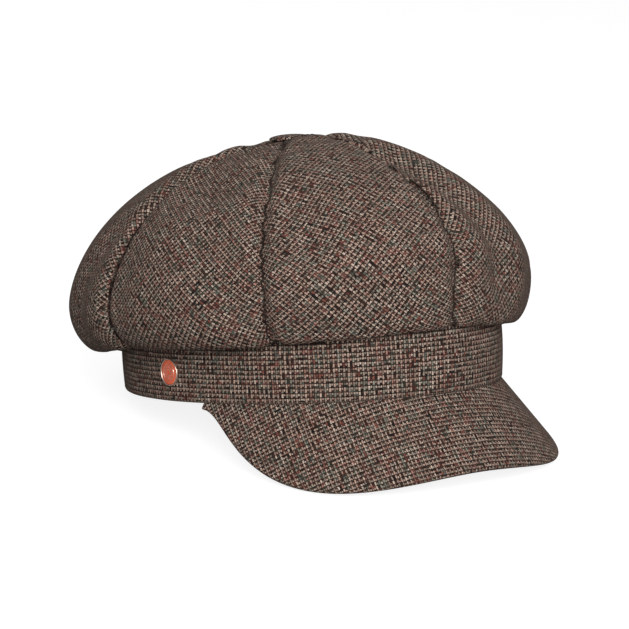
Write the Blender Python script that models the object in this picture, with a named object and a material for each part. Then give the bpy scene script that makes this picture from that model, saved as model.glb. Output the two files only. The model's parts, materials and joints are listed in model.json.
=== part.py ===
"""A newsboy cap: a full crown of eight tweed panels, a stiff band, a short arched visor and a button.

The cap is drawn in the head's own frame and then tipped onto a table. In the head's frame the lower
rim of the band lies in z = 0, the visor points along -Y and +X is the wearer's left. A direction round
the head is an angle from the front, growing towards the wearer's left.
"""

import math

import bmesh
import bpy
import numpy as np

MM = 0.001

# The head opening, an ellipse of about 57 cm round, and the layers that wrap it.
HEAD_HALF_LENGTH = 99.0 * MM
HEAD_HALF_WIDTH = 81.5 * MM
SEWN_GAP = 0.3 * MM
SWEATBAND_THICK = 0.8 * MM
INTERFACING_THICK = 0.5 * MM
BADGE_BACK_ROOM = 1.0 * MM
BAND_THICK = 1.4 * MM
BAND_HEIGHT = 33.5 * MM
SWEATBAND_LOW = 0.8 * MM
SWEATBAND_HIGH = 31.0 * MM

# The crown: how far it reaches at its widest line, and the heights of that line and of the low line
# of the overhang, each at the front, the side and the rear. Between its seams the low line hangs
# further down by the droop.
CROWN_HALF_WIDTH = 107.5 * MM
CROWN_REACH_FRONT = 111.5 * MM
CROWN_REACH_REAR = 131.5 * MM
WIDEST_HEIGHT = (65.0 * MM, 44.0 * MM, 37.0 * MM)
OVERHANG_HEIGHT = (31.5 * MM, 27.5 * MM, 14.0 * MM)
OVERHANG_DROOP = (0.8 * MM, 1.5 * MM, 4.0 * MM)
CROWN_TOP = 116.8 * MM
CROWN_TOP_BACK = 6.5 * MM
CROWN_FLATNESS = 1.08
LOW_LINE_SHARE = 0.45
CLOTH_THICK = 1.8 * MM
PANEL_PINCH = 0.018
PANEL_SEAM_GAP = 0.5 * MM
APEX_OPENING = 3.6 * MM

# The seams between the eight panels, from the front one back to the rear one on the wearer's left. The
# other side mirrors them. The front panels are wider round the head, so that all are about as wide in mm.
HALF_SEAM_ANGLES = tuple(math.radians(angle) for angle in (0.0, 48.0, 97.0, 139.0, 180.0))
SEAM_ANGLES = HALF_SEAM_ANGLES + tuple(2 * math.pi - angle for angle in HALF_SEAM_ANGLES[-2::-1])

# The lining hangs inside the crown and ends above the sweatband.
LINING_SHARE = 0.9
LINING_DROP = 8.0 * MM
LINING_WIDEST = 48.0 * MM
LINING_THICK = 0.4 * MM
LINING_END = 1.0 * MM

# The visor: half its attached arc, its width square to the band at the middle and at its ends, how
# much wider it grows towards its corners, and how steeply it drops. Each layer has a thickness and the
# share of the arc that it covers.
VISOR_HALF_ARC = math.radians(75.0)
VISOR_WIDTH = 40.5 * MM
VISOR_END_WIDTH = 3.0 * MM
VISOR_SHOULDER = 1.43
VISOR_ROUNDING = (3.2, 1.9)
VISOR_DROP = math.radians(52.0)
VISOR_CLEARANCE = 1.0 * MM
VISOR_BELOW_RIM = 1.6 * MM
VISOR_LAYERS = (
    ("visor_top_cover", 1.0 * MM, 1.0),
    ("visor_board", 0.9 * MM, 0.92),
    ("visor_under_cover", 0.8 * MM, 0.94),
)

# The covered button on the apex and the stay that holds it from inside.
BUTTON_RADIUS = 10.5 * MM
BUTTON_HEIGHT = 3.4 * MM
BUTTON_CLOTH = 1.0 * MM
BUTTON_SHELL = 0.5 * MM
BUTTON_LIP = 2.4 * MM
THREAD_RADIUS = 0.9 * MM
STAY_RADIUS = 6.0 * MM
STAY_THICK = 0.8 * MM

# The small round badge on the wearer's right side of the band.
BADGE_ANGLE = math.radians(-86.0)
BADGE_HEIGHT = 13.7 * MM
BADGE_RADIUS = 6.4 * MM
BADGE_THICK = 1.2 * MM
BADGE_RIM = 0.7 * MM
ENAMEL_THICK = 0.4 * MM
BADGE_POST_RADIUS = 1.0 * MM
BADGE_BACK_RADIUS = 4.0 * MM
BADGE_BACK_THICK = 0.4 * MM

# The blank label inside the back of the sweatband.
LABEL_HALF_ARC = math.radians(10.0)
LABEL_LOW = 9.0 * MM
LABEL_HIGH = 22.0 * MM
LABEL_THICK = 0.4 * MM

RING_STEPS = 64
ROUND_STEPS = 24

SWEATBAND_OUT = SWEATBAND_THICK
INTERFACING_IN = SWEATBAND_OUT + SEWN_GAP
INTERFACING_OUT = INTERFACING_IN + INTERFACING_THICK
BAND_IN = INTERFACING_OUT + BADGE_BACK_ROOM
BAND_OUT = BAND_IN + BAND_THICK


# ---------------------------------------------------------------- the frame of the head


def around_head(angle, outwards, height=0.0):
    """A point at this angle round the head, this far outside the head opening."""
    return np.array(
        [
            (HEAD_HALF_WIDTH + outwards) * math.sin(angle),
            -(HEAD_HALF_LENGTH + outwards) * math.cos(angle),
            height,
        ]
    )


def outward_direction(angle, outwards):
    """The level direction square to the band at this angle."""
    normal = np.array(
        [
            math.sin(angle) / (HEAD_HALF_WIDTH + outwards),
            -math.cos(angle) / (HEAD_HALF_LENGTH + outwards),
            0.0,
        ]
    )
    return normal / np.linalg.norm(normal)


def by_direction(values, angle):
    """Blends a value given at the front, the side and the rear."""
    front, side, rear = values
    along = math.cos(angle)
    end = front if along > 0 else rear
    return side + (end - side) * along**2


# ---------------------------------------------------------------- meshes and materials


def principled(name, colour, roughness, metallic=0.0):
    material = bpy.data.materials.new(name)
    material.use_nodes = True
    shader = material.node_tree.nodes["Principled BSDF"]
    shader.inputs["Base Color"].default_value = (*colour, 1.0)
    shader.inputs["Roughness"].default_value = roughness
    shader.inputs["Metallic"].default_value = metallic
    material.diffuse_color = (*colour, 1.0)
    return material


def add_object(name, points, faces, material, parent):
    mesh = bpy.data.meshes.new(name)
    mesh.from_pydata([tuple(point) for point in points], [], faces)
    shape = bmesh.new()
    shape.from_mesh(mesh)
    bmesh.ops.recalc_face_normals(shape, faces=shape.faces)
    shape.to_mesh(mesh)
    shape.free()
    mesh.materials.append(material)
    mesh.shade_smooth()
    obj = bpy.data.objects.new(name, mesh)
    bpy.context.scene.collection.objects.link(obj)
    obj.parent = parent
    return obj


def grid_faces(rows, columns, rows_closed=False):
    """The quads of a grid of points stored row by row."""
    last = rows if rows_closed else rows - 1
    faces = []
    for row in range(last):
        for column in range(columns - 1):
            here = row * columns + column
            above = (row + 1) % rows * columns + column
            faces.append((here, here + 1, above + 1, above))
    return faces


def add_ring(name, section, material, parent):
    """A closed ring round the head: section gives (outwards, height) pairs in order round its outline."""
    points = []
    for step in range(RING_STEPS):
        angle = 2 * math.pi * step / RING_STEPS
        points += [around_head(angle, outwards, height) for outwards, height in section]
    count = len(section)
    faces = []
    for step in range(RING_STEPS):
        start = step * count
        following = (step + 1) % RING_STEPS * count
        for corner in range(count):
            after = (corner + 1) % count
            faces.append((start + corner, start + after, following + after, following + corner))
    return add_object(name, points, faces, material, parent)


def add_turned(name, profile, material, parent, steps=ROUND_STEPS):
    """A solid turned about its own Z axis: the profile starts and ends on the axis."""
    first, *middle, last = profile
    points = [(0.0, 0.0, first[1]), (0.0, 0.0, last[1])]
    for step in range(steps):
        angle = 2 * math.pi * step / steps
        points += [(r * math.cos(angle), r * math.sin(angle), z) for r, z in middle]
    count = len(middle)
    faces = []
    for step in range(steps):
        here = 2 + step * count
        following = 2 + (step + 1) % steps * count
        faces.append((0, here, following))
        faces.append((1, following + count - 1, here + count - 1))
        for place in range(count - 1):
            faces.append((here + place, here + place + 1, following + place + 1, following + place))
    return add_object(name, points, faces, material, parent)


def solidify(obj, thickness):
    """Gives a sheet its thickness on the side away from its outer face."""
    modifier = obj.modifiers.new("cloth", "SOLIDIFY")
    modifier.thickness = thickness
    modifier.offset = -1.0
    return obj


# ---------------------------------------------------------------- the crown


def crown_widest(angle, share=1.0):
    """Where the crown reaches furthest in this direction, as a level vector from the head's axis."""
    reach = CROWN_REACH_FRONT if math.cos(angle) > 0 else CROWN_REACH_REAR
    return share * np.array([CROWN_HALF_WIDTH * math.sin(angle), -reach * math.cos(angle), 0.0])


def dome_stretch(angle, widest, widest_height, top, opening, steps):
    """From the apex out to the widest line."""
    start = 2 / math.pi * math.asin(opening / np.linalg.norm(widest))
    points = []
    for step in range(steps + 1):
        turn = math.pi / 2 * (start + (1 - start) * step / steps)
        outwards = math.sin(turn)
        height = widest_height + (top - widest_height) * max(0.0, math.cos(turn)) ** CROWN_FLATNESS
        points.append(widest * outwards + np.array([0.0, CROWN_TOP_BACK * (1 - outwards), height]))
    return points


def crown_section(angle, across):
    """One line of the crown from its apex, over the overhang and back up to the top of the band.

    across runs from -1 to 1 over a panel, so that the cloth swells and hangs between its seams.
    """
    swell = 1 - across**2
    widest = crown_widest(angle, 1 - PANEL_PINCH * across**4)
    widest_height = by_direction(WIDEST_HEIGHT, angle)
    low_height = by_direction(OVERHANG_HEIGHT, angle) - by_direction(OVERHANG_DROOP, angle) * swell
    points = dome_stretch(angle, widest, widest_height, CROWN_TOP, APEX_OPENING, 10)
    base = around_head(angle, BAND_OUT + SEWN_GAP)
    spread = widest - base
    for step in range(1, 5):
        turn = math.pi / 2 * step / 4
        reach = LOW_LINE_SHARE + (1 - LOW_LINE_SHARE) * math.cos(turn)
        height = widest_height - (widest_height - low_height) * math.sin(turn)
        points.append(base + spread * reach + np.array([0.0, 0.0, height]))
    for step in range(1, 4):
        turn = math.pi / 2 * step / 3
        reach = LOW_LINE_SHARE * (1 - math.sin(turn))
        height = BAND_HEIGHT - (BAND_HEIGHT - low_height) * math.cos(turn)
        points.append(base + spread * reach + np.array([0.0, 0.0, height]))
    return points


def lining_section(angle, across):
    """One line of the lining from its apex to just above the sweatband."""
    widest = crown_widest(angle, LINING_SHARE * (1 - PANEL_PINCH * across**4))
    points = dome_stretch(angle, widest, LINING_WIDEST, CROWN_TOP - LINING_DROP, APEX_OPENING, 8)
    base = around_head(angle, SWEATBAND_THICK)
    end_height = BAND_HEIGHT + LINING_END
    for step in range(1, 4):
        turn = math.pi / 2 * step / 3
        height = LINING_WIDEST - (LINING_WIDEST - end_height) * math.sin(turn)
        points.append(base + (widest - base) * math.cos(turn) + np.array([0.0, 0.0, height]))
    return points


def add_gore(name, section, seams, thickness, columns, material, parent):
    """One of the eight wedges from seam to seam, each standing clear of its neighbours by the seam gap."""
    middle = (seams[0] + seams[1]) / 2
    half = (seams[1] - seams[0]) / 2
    lines = []
    for column in range(columns):
        across = 2 * column / (columns - 1) - 1
        line = []
        for point in section(middle + across * half, across):
            along = np.array([math.cos(middle), math.sin(middle), 0.0])
            line.append(point - along * across * PANEL_SEAM_GAP / 2)
        lines.append(line)
    rows = len(lines[0])
    points = [point for line in lines for point in line]
    gore = add_object(name, points, grid_faces(columns, rows), material, parent)
    turn_outwards(gore)
    return solidify(gore, thickness)


def turn_outwards(gore):
    """An open sheet has no inside, so its faces are turned by the one that lies nearest the apex."""
    mesh = gore.data
    top_face = max(mesh.polygons, key=lambda face: face.center.z)
    if top_face.normal.z < 0:
        mesh.flip_normals()


PANEL_NAMES = (
    "front_left",
    "front_side_left",
    "rear_side_left",
    "rear_left",
    "rear_right",
    "rear_side_right",
    "front_side_right",
    "front_right",
)


def add_crown(parent):
    for number, place in enumerate(PANEL_NAMES):
        seams = SEAM_ANGLES[number : number + 2]
        tweed = principled(f"crown_{place}_tweed", (0.13, 0.095, 0.075), 0.95)
        add_gore(f"crown_{place}", crown_section, seams, CLOTH_THICK, 7, tweed, parent)
        satin = principled(f"lining_{place}_satin", (0.05, 0.04, 0.035), 0.35)
        add_gore(f"lining_{place}", lining_section, seams, LINING_THICK, 5, satin, parent)


# ---------------------------------------------------------------- the band and what it holds


def upright_section(inner, outer, low, high):
    return [(inner, low), (outer, low), (outer, high), (inner, high)]


def add_band(parent):
    tweed = principled("band_tweed", (0.12, 0.088, 0.07), 0.95)
    band = add_ring("band_cover", upright_section(BAND_IN, BAND_OUT, 0.0, BAND_HEIGHT), tweed, parent)
    canvas = principled("interfacing_canvas", (0.62, 0.58, 0.5), 0.9)
    add_ring(
        "band_interfacing",
        upright_section(INTERFACING_IN, INTERFACING_OUT, SWEATBAND_LOW, SWEATBAND_HIGH),
        canvas,
        parent,
    )
    ribbon = principled("sweatband_ribbon", (0.03, 0.025, 0.022), 0.6)
    add_ring(
        "sweatband",
        upright_section(0.0, SWEATBAND_OUT, SWEATBAND_LOW, SWEATBAND_HIGH),
        ribbon,
        parent,
    )
    return band


def add_label(parent):
    """A blank patch sewn inside the back of the sweatband."""
    columns = 7
    points = []
    for outwards in (-SEWN_GAP, -SEWN_GAP - LABEL_THICK):
        for column in range(columns):
            angle = math.pi + LABEL_HALF_ARC * (2 * column / (columns - 1) - 1)
            points.append(around_head(angle, outwards, LABEL_LOW))
            points.append(around_head(angle, outwards, LABEL_HIGH))
    faces = closed_sheet_faces(columns, 2)
    woven = principled("label_woven", (0.7, 0.66, 0.58), 0.7)
    add_object("size_label", points, faces, woven, parent)


def closed_sheet_faces(columns, rows):
    """The faces of a slab whose two sides are equal grids, the second stored after the first."""
    outer = grid_faces(columns, rows)
    size = columns * rows
    faces = outer + [tuple(size + corner for corner in reversed(face)) for face in outer]
    rim = [column * rows for column in range(columns)]
    rim += [(columns - 1) * rows + row for row in range(1, rows)]
    rim += [column * rows + rows - 1 for column in range(columns - 2, -1, -1)]
    rim += list(range(rows - 2, 0, -1))
    for place, corner in enumerate(rim):
        after = rim[(place + 1) % len(rim)]
        faces.append((corner, size + corner, size + after, after))
    return faces


# ---------------------------------------------------------------- the visor


def visor_width(share):
    """The width square to the band: growing towards the corners, then rounding in to the two ends."""
    flat, round_in = VISOR_ROUNDING
    rounding = (1 - abs(share) ** flat) ** round_in
    shoulder = 1 + VISOR_SHOULDER * share**2
    return VISOR_END_WIDTH + (VISOR_WIDTH - VISOR_END_WIDTH) * rounding * shoulder


def visor_point(share, along, depth):
    """A point of the visor: share runs -1 to 1 round the head, along runs 0 to 1 from the band outwards.

    depth is measured square to the top face. The layers stand one under the other at the band and are
    cut square at the outer edge.
    """
    angle = share * VISOR_HALF_ARC
    width = visor_width(share)
    reach = along * width * max(0.3, 1 - depth * math.tan(VISOR_DROP) / width)
    out = outward_direction(angle, BAND_OUT)
    start = around_head(angle, BAND_OUT) + out * VISOR_CLEARANCE
    down = VISOR_BELOW_RIM + reach * math.sin(VISOR_DROP) + depth / math.cos(VISOR_DROP)
    return start + out * reach * math.cos(VISOR_DROP) - np.array([0.0, 0.0, down])


def add_visor_layer(name, top_depth, thickness, covered, material, parent):
    columns, rows = 21, 5
    points = []
    for depth in (top_depth, top_depth + thickness):
        for column in range(columns):
            share = covered * (2 * column / (columns - 1) - 1)
            points += [visor_point(share, row / (rows - 1), depth) for row in range(rows)]
    hinge = np.array([0.0, -(HEAD_HALF_LENGTH + BAND_OUT), 0.0])
    points = [point - hinge for point in points]
    layer = add_object(name, points, closed_sheet_faces(columns, rows), material, parent)
    layer.location = hinge


def add_visor(parent):
    looks = (
        principled("visor_top_tweed", (0.13, 0.095, 0.075), 0.95),
        principled("visor_board_fibre", (0.1, 0.1, 0.1), 0.7),
        principled("visor_under_tweed", (0.11, 0.08, 0.065), 0.95),
    )
    depth = 0.0
    for (name, thickness, covered), look in zip(VISOR_LAYERS, looks):
        add_visor_layer(name, depth, thickness, covered, look, parent)
        depth += thickness + SEWN_GAP


# ---------------------------------------------------------------- the button


def dome_profile(radius, low, high, steps):
    """A quarter of an ellipse from the axis down to the rim."""
    points = []
    for step in range(steps + 1):
        turn = math.pi / 2 * step / steps
        points.append((radius * math.sin(turn), low + (high - low) * math.cos(turn)))
    return points


def add_button(parent):
    apex = (0.0, CROWN_TOP_BACK, CROWN_TOP)
    lip_low = SEWN_GAP
    lip_high = lip_low + BUTTON_CLOTH * 0.7
    lip_inner = BUTTON_RADIUS - BUTTON_LIP
    waist = lip_high + SEWN_GAP

    tweed = principled("button_tweed", (0.12, 0.088, 0.07), 0.95)
    outer = dome_profile(BUTTON_RADIUS, waist, BUTTON_HEIGHT, 6)
    inner = dome_profile(BUTTON_RADIUS - BUTTON_CLOTH, waist, BUTTON_HEIGHT - BUTTON_CLOTH, 6)
    lip = [(BUTTON_RADIUS - BUTTON_CLOTH / 2, lip_low), (lip_inner, lip_low), (lip_inner, lip_high)]
    turn_in = [(BUTTON_RADIUS - BUTTON_CLOTH, lip_high)]
    cover = add_turned("button_cover", outer + lip + turn_in + inner[::-1], tweed, parent)

    steel = principled("button_shell_steel", (0.6, 0.6, 0.6), 0.35, 1.0)
    shell_radius = BUTTON_RADIUS - BUTTON_CLOTH - SEWN_GAP
    shell_high = BUTTON_HEIGHT - BUTTON_CLOTH - SEWN_GAP
    shell_out = dome_profile(shell_radius, waist, shell_high, 6)
    shell_in = dome_profile(shell_radius - BUTTON_SHELL, waist, shell_high - BUTTON_SHELL, 6)
    shell = add_turned("button_shell", shell_out + shell_in[::-1], steel, parent)

    plate = principled("button_back_steel", (0.55, 0.55, 0.56), 0.4, 1.0)
    plate_radius = lip_inner - SEWN_GAP
    plate_low = lip_low + SEWN_GAP
    plate_outline = [(0.0, plate_low), (plate_radius, plate_low), (plate_radius, lip_high), (0.0, lip_high)]
    back = add_turned("button_back", plate_outline, plate, parent)

    thread_look = principled("button_thread_polyester", (0.05, 0.04, 0.035), 0.6)
    stay_high = -CLOTH_THICK - 2 * SEWN_GAP
    thread_low = stay_high + SEWN_GAP
    thread_high = plate_low - SEWN_GAP
    thread_outline = [
        (0.0, thread_low),
        (THREAD_RADIUS, thread_low),
        (THREAD_RADIUS, thread_high),
        (0.0, thread_high),
    ]
    thread = add_turned("button_thread", thread_outline, thread_look, parent, 12)

    felt = principled("button_stay_felt", (0.08, 0.065, 0.055), 0.95)
    stay_low = stay_high - STAY_THICK
    stay_outline = [(0.0, stay_low), (STAY_RADIUS, stay_low), (STAY_RADIUS, stay_high), (0.0, stay_high)]
    stay = add_turned("button_stay", stay_outline, felt, parent)

    for piece in (cover, shell, back, thread, stay):
        piece.location = apex


# ---------------------------------------------------------------- the badge


def badge_frame(parent):
    """An empty on the band's outer face whose Z axis points straight out of the band."""
    empty = bpy.data.objects.new("badge_frame", None)
    bpy.context.scene.collection.objects.link(empty)
    empty.parent = parent
    out = outward_direction(BADGE_ANGLE, BAND_OUT)
    empty.location = around_head(BADGE_ANGLE, BAND_OUT, BADGE_HEIGHT)
    empty.rotation_euler = (math.pi / 2, 0.0, math.atan2(out[0], -out[1]))
    return empty


def add_badge(parent, band):
    frame = badge_frame(parent)
    low = SEWN_GAP
    high = low + BADGE_THICK
    recess = high - ENAMEL_THICK - SEWN_GAP
    inner = BADGE_RADIUS - BADGE_RIM
    post_end = low - BAND_THICK - 2 * SEWN_GAP

    gilt = principled("badge_base_gilt", (0.85, 0.6, 0.5), 0.3, 1.0)
    outline = [
        (0.0, recess),
        (inner, recess),
        (inner, high),
        (BADGE_RADIUS - BADGE_RIM / 4, high),
        (BADGE_RADIUS, high - BADGE_RIM / 2),
        (BADGE_RADIUS, low),
        (BADGE_POST_RADIUS, low),
        (BADGE_POST_RADIUS, post_end),
        (0.0, post_end),
    ]
    add_turned("badge_base", outline, gilt, frame, 32)

    glaze = principled("badge_enamel_red", (0.55, 0.1, 0.06), 0.25)
    edge = inner - SEWN_GAP
    enamel_low = recess + SEWN_GAP
    enamel = [(0.0, enamel_low), (edge, enamel_low), (edge, high), (0.0, high)]
    add_turned("badge_enamel", enamel, glaze, frame, 32)

    washer = principled("badge_washer_steel", (0.6, 0.6, 0.6), 0.4, 1.0)
    top = post_end - SEWN_GAP / 3
    disc = [(0.0, top - BADGE_BACK_THICK), (BADGE_BACK_RADIUS, top - BADGE_BACK_THICK)]
    disc += [(BADGE_BACK_RADIUS, top), (0.0, top)]
    add_turned("badge_washer", disc, washer, frame)

    pierce(band, frame, BADGE_POST_RADIUS + SEWN_GAP)


def pierce(band, frame, radius):
    """Cuts the hole that the badge's post passes through."""
    length = 4 * BAND_THICK
    outline = [(0.0, -length), (radius, -length), (radius, length / 2), (0.0, length / 2)]
    look = principled("hole_guide", (0.5, 0.5, 0.5), 0.5)
    drill = add_turned("badge_hole_guide", outline, look, frame, 16)
    drill.hide_render = True
    drill.display_type = "WIRE"
    cut = band.modifiers.new("badge_hole", "BOOLEAN")
    cut.operation = "DIFFERENCE"
    cut.solver = "EXACT"
    cut.object = drill


# ---------------------------------------------------------------- putting it on the table


def all_points(frame):
    """Every point of the cap in the head's frame, with modifiers applied."""
    bpy.context.view_layer.update()
    graph = bpy.context.evaluated_depsgraph_get()
    to_head = frame.matrix_world.inverted()
    found = []
    for obj in bpy.context.scene.objects:
        if obj.type != "MESH" or obj.hide_render:
            continue
        shown = obj.evaluated_get(graph)
        place = to_head @ shown.matrix_world
        found += [place @ vertex.co for vertex in shown.data.vertices]
    return np.array(found)


def rest_on_table(frame):
    """Tips the cap back until the visor's edge and the rear of the band lie in one level plane.

    Then the footprint's middle is put over the origin.
    """
    points = all_points(frame)
    rear = HEAD_HALF_LENGTH + BAND_OUT
    ahead = points[points[:, 1] < 0]
    tip = np.arctan2(-ahead[:, 2], rear - ahead[:, 1]).max()
    frame.rotation_euler = (-tip, 0.0, 0.0)
    cosine, sine = math.cos(tip), math.sin(tip)
    depth = points[:, 1] * cosine + points[:, 2] * sine
    height = points[:, 2] * cosine - points[:, 1] * sine
    middle = (depth.min() + depth.max()) / 2
    frame.location = (0.0, -middle, -height.min())


def build_cap():
    for obj in list(bpy.data.objects):
        bpy.data.objects.remove(obj)
    frame = bpy.data.objects.new("head_frame", None)
    bpy.context.scene.collection.objects.link(frame)
    add_crown(frame)
    band = add_band(frame)
    add_label(frame)
    add_visor(frame)
    add_button(frame)
    add_badge(frame, band)
    rest_on_table(frame)


build_cap()
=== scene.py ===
"""The looks of a tweed newsboy cap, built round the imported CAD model.

Every cloth piece is drawn in the head's own frame, where the band's lower rim lies in z = 0, the visor
points along -Y and +X is the wearer's left, and is then put in place by the frame's joints. A direction
round the head is an angle from the front, growing towards the wearer's left. Each cloth point carries
its place on the flat cloth, in metres, in an attribute that the weave is drawn from.
"""

import json
import math

import bmesh
import bpy
import numpy as np
from mathutils import Matrix, Vector


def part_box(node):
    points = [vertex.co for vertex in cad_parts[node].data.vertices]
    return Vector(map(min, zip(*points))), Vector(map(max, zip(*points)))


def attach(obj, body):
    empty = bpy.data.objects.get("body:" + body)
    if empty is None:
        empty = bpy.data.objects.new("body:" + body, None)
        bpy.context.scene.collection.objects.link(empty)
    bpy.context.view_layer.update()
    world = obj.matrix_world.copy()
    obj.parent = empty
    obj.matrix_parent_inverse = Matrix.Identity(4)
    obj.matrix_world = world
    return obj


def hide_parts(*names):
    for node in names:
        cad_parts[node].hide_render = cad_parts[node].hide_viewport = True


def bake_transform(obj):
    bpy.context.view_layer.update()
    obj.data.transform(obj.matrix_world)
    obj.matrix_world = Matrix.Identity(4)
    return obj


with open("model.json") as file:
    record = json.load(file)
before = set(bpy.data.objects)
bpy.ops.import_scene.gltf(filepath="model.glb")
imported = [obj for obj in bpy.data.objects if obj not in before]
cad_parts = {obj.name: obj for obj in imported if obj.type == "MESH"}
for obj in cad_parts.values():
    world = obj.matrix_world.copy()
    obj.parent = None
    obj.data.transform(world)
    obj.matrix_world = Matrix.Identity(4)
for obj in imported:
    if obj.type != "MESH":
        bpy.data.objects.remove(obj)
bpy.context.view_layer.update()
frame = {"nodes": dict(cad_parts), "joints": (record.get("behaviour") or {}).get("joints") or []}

MM = 0.001
CLOTH_PLACE = "cloth_place"
SEWN_GAP = 0.3 * MM

# ---------------------------------------------------------------- the frame of the head

JOINTS = {joint["name"]: joint for joint in frame["joints"]}
UP = Vector(JOINTS["button_swivel"]["axis"]).normalized()
SIDE = Vector(JOINTS["visor_tilt"]["axis"]).normalized()
BACK = UP.cross(SIDE)
HINGE = Vector(JOINTS["visor_tilt"]["pos_m"])
APEX = Vector(JOINTS["button_swivel"]["pos_m"])
HEAD_TURN = Matrix((SIDE, BACK, UP)).transposed()

BAND_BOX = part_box("band_cover")
BAND_HALF_WIDTH = (BAND_BOX[1][0] - BAND_BOX[0][0]) / 2
BAND_HALF_LENGTH = BAND_HALF_WIDTH + 17.5 * MM
HEAD_ORIGIN = HINGE + BACK * BAND_HALF_LENGTH

BAND_HEIGHT = 33.5 * MM
BAND_THICK = 1.4 * MM
LAYERS_THICK = 4.0 * MM
CROWN_TOP = (APEX - HEAD_ORIGIN).dot(UP)
CROWN_TOP_BACK = (APEX - HEAD_ORIGIN).dot(BACK)


def to_world(points):
    """Points of the head's frame, as an array, in the row's frame."""
    return np.asarray(points) @ np.array(HEAD_TURN).T + np.array(HEAD_ORIGIN)


def around_head(angle, outwards, height=0.0):
    """A point at this angle round the head, this far outside the band's outer face."""
    across = (BAND_HALF_WIDTH + outwards) * math.sin(angle)
    back = -(BAND_HALF_LENGTH + outwards) * math.cos(angle)
    return np.array([across, back, height])


def outward_direction(angle):
    """The level direction square to the band at this angle."""
    normal = np.array([math.sin(angle) / BAND_HALF_WIDTH, -math.cos(angle) / BAND_HALF_LENGTH, 0.0])
    return normal / np.linalg.norm(normal)


def by_direction(values, angle):
    """Blends a value given at the front, the wearer's left, the rear and the wearer's right."""
    front, left, rear, right = values
    side = left if math.sin(angle) > 0 else right
    end = front if math.cos(angle) > 0 else rear
    return side + (end - side) * math.cos(angle) ** 2


def unit(vectors):
    """The same vectors at length one."""
    return vectors / np.maximum(np.linalg.norm(vectors, axis=-1, keepdims=True), 1e-12)


def distances_along(line):
    """The distance of each point of a line from its first one."""
    steps = np.linalg.norm(np.diff(line, axis=0), axis=1)
    return np.concatenate([[0.0], np.cumsum(steps)])


def evenly(line, count):
    """The same line as a given number of evenly spaced points."""
    along = distances_along(line)
    wanted = np.linspace(0.0, along[-1], count)
    return np.stack([np.interp(wanted, along, line[:, axis]) for axis in range(3)], axis=1)


# ---------------------------------------------------------------- meshes


def make_mesh(name, points, faces, places=None):
    """A mesh in the row's frame from points of the head's frame, with the cloth's place on each point."""
    mesh = bpy.data.meshes.new(name)
    mesh.from_pydata([tuple(point) for point in to_world(points)], [], faces)
    if places is not None:
        store_places(mesh, places)
    mesh.shade_smooth()
    return mesh


def store_places(mesh, places):
    """Keeps each point's place on the flat cloth and, third, how near it is to a seam, from 0 to 1."""
    places = np.asarray(places, float)
    flat = np.zeros((len(mesh.vertices), 3))
    flat[:, : places.shape[-1]] = places.reshape(-1, places.shape[-1])
    layer = mesh.attributes.new(CLOTH_PLACE, "FLOAT_VECTOR", "POINT")
    layer.data.foreach_set("vector", flat.ravel())


def add_object(name, data):
    """Puts an object in the scene."""
    obj = bpy.data.objects.new(name, data)
    bpy.context.scene.collection.objects.link(obj)
    return obj


def add_piece(mesh, material, node=None):
    """A piece named after its mesh, in place of the CAD node that it stands for."""
    piece = add_object(mesh.name, mesh)
    mesh.materials.append(material)
    if node:
        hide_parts(node)
    return piece


def add_to_body(body, mesh, material, node=None):
    """A piece that moves with this body."""
    piece = add_piece(mesh, material, node)
    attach(piece, body)
    return piece


def thicken(piece, thickness):
    """Gives a sheet its thickness, inside its outer face."""
    thick = piece.modifiers.new("thick", "SOLIDIFY")
    thick.thickness = thickness
    thick.offset = -1.0


def tidy_mesh(mesh):
    """Joins points that coincide and turns all faces outwards."""
    shape = bmesh.new()
    shape.from_mesh(mesh)
    bmesh.ops.remove_doubles(shape, verts=shape.verts, dist=0.005 * MM)
    bmesh.ops.recalc_face_normals(shape, faces=shape.faces)
    shape.to_mesh(mesh)
    shape.free()
    mesh.shade_smooth()


def closed_mesh(name, points, faces, places=None):
    """A closed solid's mesh, from points of the head's frame."""
    mesh = make_mesh(name, points, faces, places)
    tidy_mesh(mesh)
    return mesh


def grid_faces(columns, rows):
    """The quads of a grid of points stored column by column."""
    faces = []
    for column in range(columns - 1):
        for row in range(rows - 1):
            here = column * rows + row
            faces.append((here, here + rows, here + rows + 1, here + 1))
    return faces


def ring_faces(rings, steps):
    """The quads of a row of closed rings of points."""
    faces = []
    for ring in range(rings - 1):
        for step in range(steps):
            after = (step + 1) % steps
            here = ring * steps
            faces.append((here + step, here + steps + step, here + steps + after, here + after))
    return faces


def loft_mesh(name, sections, places):
    """A closed strip through a row of closed sections, with a flat cap at each end."""
    sections = np.asarray(sections)
    stations, loop = sections.shape[:2]
    faces = ring_faces(stations, loop)
    faces.append(tuple(range(loop)))
    faces.append(tuple((stations - 1) * loop + corner for corner in reversed(range(loop))))
    return closed_mesh(name, sections.reshape(-1, 3), faces, places)


def outward_normals(grid, closed=False):
    """Unit normals of a grid of points round the head, on the side that faces away from it."""
    around = np.gradient(grid, axis=0)
    if closed:
        around = (np.roll(grid, -1, axis=0) - np.roll(grid, 1, axis=0)) / 2
    normals = unit(np.cross(around, np.gradient(grid, axis=1)))
    near_top = normals[grid.shape[0] // 2, 2, 2]
    return normals if near_top > 0 else -normals


def turned(angle, places):
    """Cloth places turned in the plane of the cloth."""
    cosine, sine = math.cos(angle), math.sin(angle)
    return np.asarray(places) @ np.array([[cosine, sine], [-sine, cosine]])


# ---------------------------------------------------------------- materials


INPUT_NAMES = {"specular_ior_level": "Specular IOR Level"}


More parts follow.
